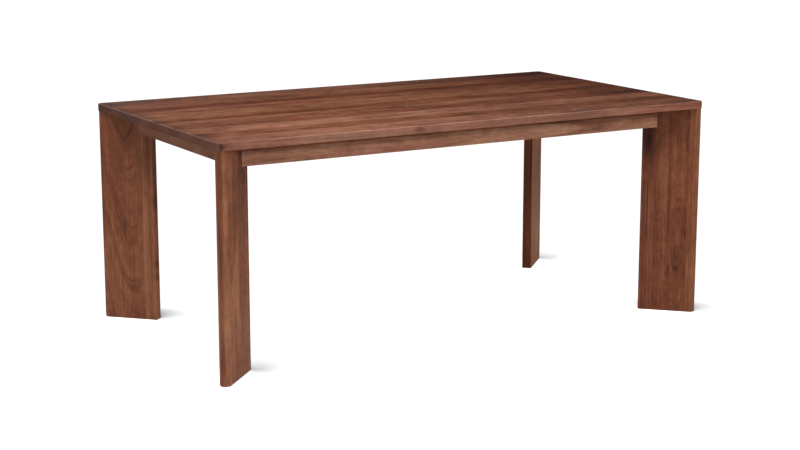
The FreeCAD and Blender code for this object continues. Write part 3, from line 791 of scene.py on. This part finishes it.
@dataclass(frozen=True)
class TableTop:
    """The boards of the top, from the front edge to the rear edge.

    Args:
        boards: Their finishes.
        ends: Patches all of them have towards their ends: darker at the left, painted shade at the right.
        mottle: Strength of the short mottled figure of all of them.
    """

    boards: tuple[Walnut, ...] = (
        Walnut(
            # Its front edge face carries painted light, and its front arris a painted highlight.
            1.3, 0.085, 0.13, 0.98, Figure(0.04, 0.09, 0.03, 0.01), edge_painted_light=0.06,
            edge_painted_redness=0.26, edge_painted_bloom=0.6, arris_painted_highlight=0.27,
            knots=(Knot(0.692, 0.004, 0.002, 0.008, -0.01),),
            stains_and_light=(StainAndLight(1.41, 0.07, 0.07, 0.014, -0.16), StainAndLight(1.2, 0.05, 0.35, 0.09, -0.07),
                    StainAndLight(0.3, 0.05, 0.3, 0.08, 0.05), StainAndLight(0.692, 0.0, 0.02, 0.02, -0.24, -0.012, 0.012),
                    StainAndLight(0.0, 0.0, 0.02, 0.03, -0.36, -0.012, 0.014),
                    # The last patch is a painted highlight on the front edge and its arris, towards the right
                    # end.
                    StainAndLight(1.7, -0.004, 0.5, 0.014, 0.15, -0.014, 0.018))),
        Walnut(2.7, -0.012, -0.24, -0.16, Figure(-0.06, 0.08, 0.01), stains_and_light=(
            StainAndLight(0.93, 0.031, 0.09, 0.022, -0.16), StainAndLight(1.19, 0.03, 0.06, 0.02, -0.09),
            StainAndLight(0.02, 0.04, 0.06, 0.05, -0.16), StainAndLight(0.65, 0.045, 0.35, 0.04, 0.07))),
        Walnut(3.1, 0.153, 0.06, 0.88, Figure(0.055, 0.07, -0.03), stains_and_light=(
            StainAndLight(0.08, 0.033, 0.07, 0.03, -0.18), StainAndLight(1.25, 0.05, 0.05, 0.015, -0.15),
            StainAndLight(0.85, 0.05, 0.28, 0.06, 0.1))),
        Walnut(4.9, -0.016, 0.17, -0.1, Figure(0.11, 0.06, 0.015), stains_and_light=(
            StainAndLight(1.0, 0.044, 0.11, 0.03, -0.1), StainAndLight(1.74, 0.045, 0.15, 0.05, -0.2),
            StainAndLight(0.25, 0.04, 0.32, 0.05, -0.09))),
        Walnut(5.2, 0.056, 0.02, 0.5, Figure(0.03, 0.1, -0.02), stains_and_light=(
            StainAndLight(1.08, 0.045, 0.13, 0.02, 0.09), StainAndLight(0.35, 0.03, 0.25, 0.03, -0.07))),
        Walnut(
            6.6, -0.08, -0.3, -0.95, Figure(-0.04, 0.07, 0.025),
            knots=(Knot(0.53, 0.03, 0.005, 0.012), Knot(0.7, 0.028, 0.007, 0.014)),
            stains_and_light=(StainAndLight(0.5, 0.034, 0.24, 0.018, -0.12), StainAndLight(1.05, 0.03, 0.15, 0.03, 0.08))),
        Walnut(7.4, 0.108, -0.21, 0.22, Figure(0.07, 0.06, 0.02, -0.01), stains_and_light=(
            StainAndLight(0.5, 0.018, 0.25, 0.02, -0.12), StainAndLight(0.98, 0.05, 0.12, 0.04, 0.1))),
        Walnut(8.8, 0.025, 0.13, 0.3, Figure(0.02, 0.09, -0.015)),
        Walnut(9.5, -0.123, 0.12, -0.9, Figure(0.12, 0.05, 0.02), stains_and_light=(
            StainAndLight(0.6, 0.03, 0.08, 0.02, -0.1), StainAndLight(1.21, 0.03, 0.06, 0.02, -0.09))),
        Walnut(10.2, 0.048, 0.06, 0.24, Figure(0.045, 0.08, 0.025), stains_and_light=(
            StainAndLight(1.0, 0.045, 0.25, 0.06, 0.12), StainAndLight(1.55, 0.05, 0.2, 0.06, -0.1))),
        Walnut(11.9, -0.02, 0.14, 1.0, Figure(0.06, 0.12, -0.01), stains_and_light=(
            # The first patch is painted shade at the board's right end, darker and less grey.
            StainAndLight(1.78, 0.06, 0.45, 0.12, -0.13, bloom=-1.1), StainAndLight(0.1, 0.06, 0.2, 0.08, -0.14),
            StainAndLight(0.7, 0.06, 0.4, 0.08, 0.14))),
    )
    ends: tuple[StainAndLight, ...] = (
        # Darker at the left end; painted shade at the right end, darker and less grey; a faint darker band at
        # 1.26 m along.
        StainAndLight(0.0, 0.05, 0.05, 2.0, -0.18), StainAndLight(1.83, 0.05, 0.4, 2.0, -0.14, bloom=-0.8),
        StainAndLight(1.26, 0.05, 0.16, 2.0, -0.06))
    mottle: float = 1.7

    def build(self, nodes: Nodes) -> None:
        """Dress each board in its own walnut.

        Args:
            nodes: The frame's nodes, by name.
        """
        for number, board in enumerate(self.boards, 1):
            name = f"top_board_{number:02d}"
            low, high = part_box(name)
            lie = Lie((low.x, low.y, high.z), RIGHTWARD, REARWARD, UP)
            shaded = replace(board, mottle=self.mottle, stains_and_light=board.stains_and_light + self.ends)
            dress(nodes[name], shaded.material(f"walnut_{name}", lie))


class Corner(Enum):
    """The corners of the table, by the signs of X and Y."""

    FRONT_LEFT = (-1, -1)
    FRONT_RIGHT = (1, -1)
    REAR_RIGHT = (1, 1)
    REAR_LEFT = (-1, 1)

    def word(self) -> str:
        """The corner's name in the frame."""
        return self.name.lower()

    def inward(self) -> Point:
        """The way along the inward diagonal."""
        return (-self.value[0] * HALF_DIAGONAL, -self.value[1] * HALF_DIAGONAL, 0.0)

    def aside(self) -> Point:
        """The level way across the diagonal."""
        return (self.value[1] * HALF_DIAGONAL, -self.value[0] * HALF_DIAGONAL, 0.0)


@dataclass(frozen=True)
class PlankLeg:
    """One leg, a plank on the diagonal of its corner.

    Args:
        corner: Which leg.
        show_face: The way its show face looks.
        staves: Its staves by name, from the nose inward.
        thickness: Thickness of the plank.
        nose_offset: The table's sharp corner to the nose.
    """

    corner: Corner
    show_face: Point
    staves: Mapping[str, Walnut]
    thickness: float = 0.035
    nose_offset: float = 0.0086

    def build(self, nodes: Nodes, half: Vector) -> None:
        """Dress each stave in its own walnut.

        Args:
            nodes: The frame's nodes, by name.
            half: Half the table's length and width.
        """
        inward = Vector(self.corner.inward())
        sharp = Vector((self.corner.value[0] * half.x, self.corner.value[1] * half.y, 0.0))
        nose = sharp + inward * self.nose_offset + Vector(self.show_face) * self.thickness / 2
        lie = Lie(tuple(nose), UP, tuple(inward), self.show_face)
        for stave, walnut in self.staves.items():
            name = f"{self.corner.word()}_leg_{stave}_stave"
            dress(nodes[name], walnut.material(f"walnut_{name}", lie))


FACING_FRONT_LEFT: Point = (-HALF_DIAGONAL, -HALF_DIAGONAL, 0.0)
FACING_FRONT_RIGHT: Point = (HALF_DIAGONAL, -HALF_DIAGONAL, 0.0)

LEGS = (
    PlankLeg(Corner.FRONT_LEFT, FACING_FRONT_RIGHT, {
        "nose": Walnut(
            # Its nose face carries painted shade.
            21.0, 0.2, 0.0, 0.12, Figure(-0.12, 0.03, band=0.018), mottle=1.4, edge_painted_light=-0.16,
            stains_and_light=(StainAndLight(0.25, 0.03, 0.14, 0.04, 0.04), StainAndLight(0.62, 0.03, 0.24, 0.05, -0.04),
                    StainAndLight(0.1, 0.0, 0.24, 0.03, 0.1, -0.017, 0.03),
                    # These last two patches are painted shade: on the nose face that looks away from the
                    # light, and along the arris beside the show face.
                    StainAndLight(0.36, 0.004, 2.0, 0.03, -0.14, -0.032, 0.019),
                    StainAndLight(0.36, 0.004, 3.0, 0.016, -0.11, -0.003, 0.014))),
        "middle": Walnut(22.0, 0.1, 0.0, 0.05, Figure(-0.1, 0.03, band=0.02), mottle=1.4, stains_and_light=(
            StainAndLight(0.26, 0.08, 0.15, 0.04, 0.16), StainAndLight(0.6, 0.08, 0.15, 0.04, -0.14))),
        "inner": Walnut(23.0, 0.06, 0.0, 0.4, Figure(-0.1, 0.05, band=0.024), mottle=1.4, stains_and_light=(
            # The darker patches high on the stave, next to the apron, are partly its own tone and partly
            # painted shade.
            StainAndLight(0.62, 0.15, 0.17, 0.07, -0.14), StainAndLight(0.1, 0.15, 0.15, 0.07, 0.1),
            StainAndLight(0.7, 0.16, 0.08, 0.06, -0.2))),
    }),
    PlankLeg(Corner.FRONT_RIGHT, FACING_FRONT_LEFT, {
        "nose": Walnut(24.0, 0.045, -0.08, -0.14, Figure(-0.14, 0.02, ring=0.003, band=0.005, waver=0.003)),
        "middle": Walnut(
            25.0, 0.0, 0.14, -0.16, Figure(0.066, 0.05, 0.0, 0.0, 0.36, 0.29, 0.003, 0.008, contrast=0.32),
            mottle=1.2, knots=(Knot(0.2, 0.118, 0.0035, 0.008),),
            stains_and_light=(StainAndLight(0.16, 0.07, 0.014, 0.012, -0.16), StainAndLight(0.158, 0.092, 0.014, 0.005, -0.18),
                    StainAndLight(0.182, 0.108, 0.018, 0.003, -0.2), StainAndLight(0.42, 0.098, 0.3, 0.004, -0.15),
                    StainAndLight(0.36, 0.113, 0.4, 0.007, 0.08), StainAndLight(0.5, 0.04, 0.34, 0.005, -0.1),
                    StainAndLight(0.52, 0.083, 0.16, 0.006, 0.08), StainAndLight(0.14, 0.1, 0.02, 0.008, -0.1),
                    StainAndLight(0.05, 0.12, 0.06, 0.05, -0.08), StainAndLight(0.45, 0.13, 0.14, 0.03, 0.1),
                    StainAndLight(0.64, 0.07, 0.12, 0.05, -0.14)),
            arcs=(Arc(0.4, 0.001, -0.18), Arc(0.374, 0.0008, -0.12), Arc(0.345, 0.0007, -0.16),
                  Arc(0.432, 0.001, -0.13), Arc(0.56, 0.0012, -0.06))),
        "inner": Walnut(26.0, 0.0, 0.37, 0.05, Figure(-0.14, 0.03), stains_and_light=(
            # The first patch is painted shadow of the front apron, high on the stave's inner edge.
            StainAndLight(0.66, 0.18, 0.12, 0.035, -0.4), StainAndLight(0.4, 0.18, 0.12, 0.04, 0.1))),
    }),
    PlankLeg(Corner.REAR_RIGHT, FACING_FRONT_RIGHT, {
        "nose": Walnut(27.0, 0.2, -0.08, 0.27, Figure(-0.12, 0.04, band=0.022), stains_and_light=(
            StainAndLight(0.42, 0.09, 0.12, 0.05, -0.1), StainAndLight(0.6, 0.08, 0.1, 0.06, -0.08),
            StainAndLight(0.08, 0.09, 0.14, 0.08, 0.14))),
        "inner": Walnut(
            # Its inner end face carries painted shade, darker and less grey.
            28.0, 0.23, -0.06, 0.27, Figure(-0.12, 0.05, band=0.022), edge_painted_light=-0.3, edge_painted_bloom=-1.0,
            stains_and_light=(StainAndLight(0.44, 0.14, 0.12, 0.05, -0.08), StainAndLight(0.62, 0.15, 0.1, 0.06, -0.15),
                    StainAndLight(0.12, 0.14, 0.16, 0.08, 0.14))),
    }),
    PlankLeg(Corner.REAR_LEFT, FACING_FRONT_LEFT, {
        "nose": Walnut(
            29.0, 0.05, 0.06, 0.02, Figure(0.135, 0.16, -0.13, -0.06, band=0.009, contrast=0.8),
            stains_and_light=(StainAndLight(0.15, 0.03, 0.18, 0.05, 0.06), StainAndLight(0.6, 0.06, 0.14, 0.08, -0.05)),
            arcs=(Arc(0.636, 0.0012, -0.2), Arc(0.534, 0.0014, -0.18), Arc(0.494, 0.001, -0.14),
                  Arc(0.336, 0.0014, -0.16), Arc(0.118, 0.0018, -0.16), Arc(0.088, 0.003, -0.14))),
        "inner": Walnut(30.0, 0.09, -0.15, 0.05, Figure(-0.1, 0.03, band=0.01, waver=0.004), stains_and_light=(
            StainAndLight(0.42, 0.196, 0.03, 0.006, -0.2), StainAndLight(0.2, 0.196, 0.015, 0.005, -0.2),
            StainAndLight(0.15, 0.196, 0.015, 0.005, -0.2), StainAndLight(0.6, 0.17, 0.12, 0.04, -0.08),
            StainAndLight(0.07, 0.185, 0.12, 0.04, 0.13))),
    }),
)


@dataclass(frozen=True)
class ApronFrame:
    """The four aprons under the top."""

    finishes: Mapping[str, Walnut] = field(default_factory=lambda: {
        "front": Walnut(
            41.0, 0.3, 0.04, 0.55, Figure(0.03, 0.05), mottle=1.1,
            knots=(Knot(0.879, 0.034, 0.0012, 0.012), Knot(1.49, 0.03, 0.0022, 0.012)),
            stains_and_light=(StainAndLight(1.5, 0.035, 0.05, 0.02, -0.1), StainAndLight(1.25, 0.035, 0.03, 0.02, 0.04),
                    StainAndLight(0.879, 0.034, 0.012, 0.012, -0.13), StainAndLight(0.871, 0.034, 0.005, 0.009, -0.12),
                    # The two long patches high on the apron are painted shadow under the top's edge: a thin
                    # dark line and a darker band above it.
                    StainAndLight(0.36, 0.03, 0.06, 0.015, -0.08), StainAndLight(0.82, 0.0505, 8.0, 0.0045, -0.3, bloom=-1.4),
                    StainAndLight(0.82, 0.065, 8.0, 0.01, -0.22, bloom=-0.8), StainAndLight(0.2, 0.03, 0.12, 0.05, 0.07))),
        "right": Walnut(42.0, 0.1, 0.0, 0.1, mottle=1.4),
        "rear": Walnut(43.0, 0.08, 0.05, 0.1, mottle=1.4),
        "left": Walnut(44.0, 0.16, 0.0, 1.05, Figure(0.02, 0.08))})

    OUTWARD = {"front": (0.0, -1.0, 0.0), "right": RIGHTWARD, "rear": REARWARD, "left": (-1.0, 0.0, 0.0)}

    def build(self, nodes: Nodes) -> None:
        """Dress each apron, its grain lengthwise and its outer face the show face.

        Args:
            nodes: The frame's nodes, by name.
        """
        for side, walnut in self.finishes.items():
            name = f"{side}_apron"
            low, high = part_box(name)
            along = REARWARD if side in ("left", "right") else RIGHTWARD
            face = self.OUTWARD[side]
            origin = (high.x if face[0] > 0 else low.x, high.y if face[1] > 0 else low.y, low.z)
            dress(nodes[name], walnut.material(f"walnut_{name}", Lie(origin, along, UP, face)))


@dataclass(frozen=True)
class HiddenFrame:
    """The beech corner blocks, cross rails and buttons inside the aprons."""

    block_seed: float = 61.0
    rail_seed: float = 71.0
    button_seed: float = 81.0

    def build(self, nodes: Nodes) -> None:
        """Dress each piece, its grain along its length.

        Args:
            nodes: The frame's nodes, by name.
        """
        for number, corner in enumerate(Corner):
            low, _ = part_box(f"{corner.word()}_corner_block")
            lie = Lie(tuple(low), corner.aside(), corner.inward(), UP)
            self._dress(nodes, f"{corner.word()}_corner_block", self.block_seed + number, lie)
        for number, side in enumerate(("left", "right")):
            low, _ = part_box(f"cross_rail_{side}")
            lie = Lie(tuple(low), REARWARD, RIGHTWARD, UP)
            self._dress(nodes, f"cross_rail_{side}", self.rail_seed + number, lie)
        for number, side in enumerate(("front", "right", "rear", "left")):
            low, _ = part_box(f"{side}_apron_buttons")
            axes = (REARWARD, RIGHTWARD) if side in ("front", "rear") else (RIGHTWARD, REARWARD)
            self._dress(nodes, f"{side}_apron_buttons", self.button_seed + number, Lie(tuple(low), *axes, UP))

    @staticmethod
    def _dress(nodes: Nodes, name: str, seed: float, lie: Lie) -> None:
        """Dress one piece in beech."""
        dress(nodes[name], Beech(seed).material(f"beech_{name}", lie))


@dataclass(frozen=True)
class Hardware:
    """The bolts, washers, nuts, screws and glides."""

    sets: Mapping[Plain, Sequence[str]] = field(default_factory=lambda: {
        ZINC: ("hanger_bolts", "bolt_washers", "bolt_nuts"),
        YELLOW_ZINC: ("corner_block_screws", "button_screws", "cross_rail_screws"),
        BROWN_NYLON: [f"{corner.word()}_leg_glides" for corner in Corner]})

    def build(self, nodes: Nodes) -> None:
        """Dress each set, one material to a finish.

        Args:
            nodes: The frame's nodes, by name.
        """
        for finish, names in self.sets.items():
            material = finish.material()
            for name in names:
                dress(nodes[name], material)


# -------------------- studio


class Seen(Enum):
    """What a light reaches, by its diffuse and its glossy share."""

    EVERYWHERE = (True, True)
    OUT_OF_GLOSS = (True, False)
    IN_GLOSS_ONLY = (False, True)


@dataclass(frozen=True)
class Softbox:
    """A soft light: its name, where it hangs and looks, its width, height and watts, and what it reaches."""

    name: str
    place: Point
    aim: Point
    width: float
    height: float
    power: float
    seen: Seen = Seen.EVERYWHERE

    def build(self) -> None:
        """Hang the light."""
        light = bpy.data.lights.new(self.name, "AREA")
        light.shape, light.size, light.size_y = "RECTANGLE", self.width, self.height
        light.energy = self.power
        lamp = bpy.data.objects.new(self.name, light)
        lamp.location = self.place
        lamp.rotation_mode = "QUATERNION"
        lamp.rotation_quaternion = (Vector(self.aim) - Vector(self.place)).to_track_quat("-Z", "Y")
        lamp.visible_camera = False
        lamp.visible_diffuse, lamp.visible_glossy = self.seen.value
        bpy.context.scene.collection.objects.link(lamp)
        LOG.info("light %s", self.name)


@dataclass(frozen=True)
class Studio:
    """A white sweep, soft light and the camera.

    Args:
        camera_place: Where the camera stands.
        camera_heading: Degrees from +Y towards +X.
        camera_drop: Degrees below level.
        lens: Focal length in millimetres.
        floor_reach: Half the width of the floor.
        lights: The lights.
    """

    camera_place: Point = (-3.0057, -5.1806, 1.5754)
    camera_heading: float = 30.07
    camera_drop: float = 11.85
    lens: float = 79.06
    floor_reach: float = 60.0
    lights: tuple[Softbox, ...] = (
        Softbox("over_front", (-0.8, -0.9, 2.9), (-0.2, -0.1, 0.75), 2.0, 2.0, 51.0),
        Softbox("over_left", (-2.6, -1.4, 3.4), (-0.3, -0.1, 0.75), 2.0, 2.0, 56.0),
        Softbox("front_right", (3.6, -5.4, 2.6), (0.0, 0.0, 0.5), 2.4, 0.6, 175.0),
        Softbox("left", (-6.0, 0.2, 2.4), (0.0, 0.0, 0.5), 2.4, 1.0, 43.0),
        Softbox("right", (6.0, -0.6, 2.4), (0.0, 0.0, 0.5), 2.4, 1.0, 12.0),
        Softbox("arris_front", (2.0, -1.1, 3.6), (0.5, -0.5, 0.75), 4.4, 0.5, 95.0, Seen.IN_GLOSS_ONLY),
        Softbox("arris_left", (-1.6, 3.4, 2.9), (-0.9, 0.0, 0.75), 2.0, 0.8, 78.0, Seen.IN_GLOSS_ONLY),
        Softbox("rear", (0.0, 5.4, 2.4), (0.0, 0.0, 0.4), 4.0, 2.0, 30.0, Seen.OUT_OF_GLOSS),
    )

    WHITE = (1.0, 1.0, 1.0)
    ROOM_LIGHT = 0.05
    ROOM_IN_GLOSS = 0.035
    BACKDROP_LIGHT = 1.2
    FLOOR_LIGHT = 1.1
    FLOOR_BOUNCE = (0.8, 0.8, 0.8)
    FLOOR_IN_GLOSS = (0.45, 0.45, 0.45)
    FLOOR_GLOW = 0.185
    GLOW_WHOLE = 1.5
    GLOW_GONE = 5.0
    CONTACT_REACH = 0.14
    CONTACT_HEADING = 216.0
    CONTACT_SPREAD = 75.0
    CONTACT_RISE = 0.25
    CONTACT_GAIN = 3.2

    def build(self) -> None:
        """Make the floor, the room, the lights and the camera."""
        bpy.context.scene.view_settings.view_transform = "Standard"
        self._floor()
        self._room()
        for light in self.lights:
            light.build()
        self._camera()

    def _floor(self) -> None:
        """Lay a pale floor that is seen only from above."""
        reach = self.floor_reach
        corners = [(-reach, -reach, 0), (reach, -reach, 0), (reach, reach, 0), (-reach, reach, 0)]
        mesh = bpy.data.meshes.new("studio_floor")
        mesh.from_pydata(corners, [], [(0, 1, 2, 3)])
        floor = bpy.data.objects.new("studio_floor", mesh)
        bpy.context.scene.collection.objects.link(floor)
        mesh.materials.append(self._sweep())
        floor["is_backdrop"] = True
        LOG.info("floor")

    def _sweep(self) -> Material:
        """Make the floor's material, which the camera sees evenly bright apart from a painted contact shadow.

        Returns:
            The material.
        """
        material, graph, surface = new_material("white_sweep")
        graph.tree.nodes.remove(surface)
        path = graph.add("ShaderNodeLightPath").outputs
        side = graph.add("ShaderNodeNewGeometry").outputs
        away = graph.vector("LENGTH", graph.add("ShaderNodeTexCoord").outputs["Object"])
        glow_strength = graph.span(away, self.GLOW_WHOLE, self.GLOW_GONE, self.FLOOR_GLOW, 0.0)
        glow = graph.add("ShaderNodeEmission", {"Strength": glow_strength})
        bounce = graph.add("ShaderNodeBsdfDiffuse", {"Color": self.FLOOR_BOUNCE})
        felt = graph.add("ShaderNodeAddShader", {0: bounce.outputs[0], 1: glow.outputs[0]})
        mirrored = graph.add("ShaderNodeBsdfDiffuse", {"Color": self.FLOOR_IN_GLOSS})
        # The floor that the camera sees glows evenly, with a painted contact shadow.
        seen = graph.add("ShaderNodeEmission", {"Strength": self._painted_contact_shadow(graph)})
        unseen = graph.mix_shaders(path["Is Glossy Ray"], felt, mirrored)
        above = graph.mix_shaders(path["Is Camera Ray"], unseen, seen)
        whole = graph.mix_shaders(side["Backfacing"], above, graph.add("ShaderNodeBsdfTransparent"))
        graph.feed(graph.tree.nodes["Material Output"].inputs["Surface"], whole.outputs[0])
        return material

    def _painted_contact_shadow(self, graph: Graph) -> Socket:
        """Paint a contact shadow on the floor from ambient occlusion looked for towards the front left:
        darker just behind whatever stands on it.

        Args:
            graph: The floor's tree.

        Returns:
            The light that the floor shows.
        """
        ways = []
        for turn in (0.0, self.CONTACT_SPREAD, -self.CONTACT_SPREAD):
            heading = math.radians(self.CONTACT_HEADING + turn)
            lean = (math.cos(heading), math.sin(heading), self.CONTACT_RISE)
            normal = graph.add("ShaderNodeCombineXYZ", dict(enumerate(lean))).outputs[0]
            inputs = {"Distance": self.CONTACT_REACH, "Normal": normal}
            ways.append(graph.add("ShaderNodeAmbientOcclusion", inputs).outputs["AO"])
        beside = graph.times(graph.total(*ways[1:]), -1.0 / len(ways[1:]))
        return graph.times_plus(graph.total(ways[0], beside), self.CONTACT_GAIN, self.FLOOR_LIGHT)

    def _room(self) -> None:
        """Light the room evenly, with a white backdrop."""
        world = bpy.data.worlds.new("studio_room")
        world.use_nodes = True
        graph = Graph(world.node_tree)
        path = graph.add("ShaderNodeLightPath").outputs
        ambient, gloss, backdrop = (
            graph.add("ShaderNodeBackground", {"Color": self.WHITE, "Strength": strength})
            for strength in (self.ROOM_LIGHT, self.ROOM_IN_GLOSS, self.BACKDROP_LIGHT))
        unseen = graph.mix_shaders(path["Is Glossy Ray"], ambient, gloss)
        whole = graph.mix_shaders(path["Is Camera Ray"], unseen, backdrop)
        graph.feed(graph.tree.nodes["World Output"].inputs["Surface"], whole.outputs[0])
        bpy.context.scene.world = world
        LOG.info("room")

    def _camera(self) -> None:
        """Stand the camera."""
        camera = bpy.data.objects.new("studio_camera", bpy.data.cameras.new("studio_camera"))
        camera.data.lens = self.lens
        camera.location = self.camera_place
        tilt = math.radians(90.0 - self.camera_drop)
        camera.rotation_euler = (tilt, 0.0, -math.radians(self.camera_heading))
        bpy.context.scene.collection.objects.link(camera)
        bpy.context.scene.camera = camera
        LOG.info("camera")


def main() -> None:
    """Load the frame, dress each sub-assembly, and set up the studio."""
    logging.basicConfig(level=logging.INFO, format="%(name)s: %(message)s")
    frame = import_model()
    frame_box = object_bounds()
    nodes = frame["nodes"]
    half = (frame_box[1] - frame_box[0]) / 2
    TableTop().build(nodes)
    for leg in LEGS:
        leg.build(nodes, half)
    ApronFrame().build(nodes)
    HiddenFrame().build(nodes)
    Hardware().build(nodes)
    Studio().build()


if __name__ == "__main__":
    main()
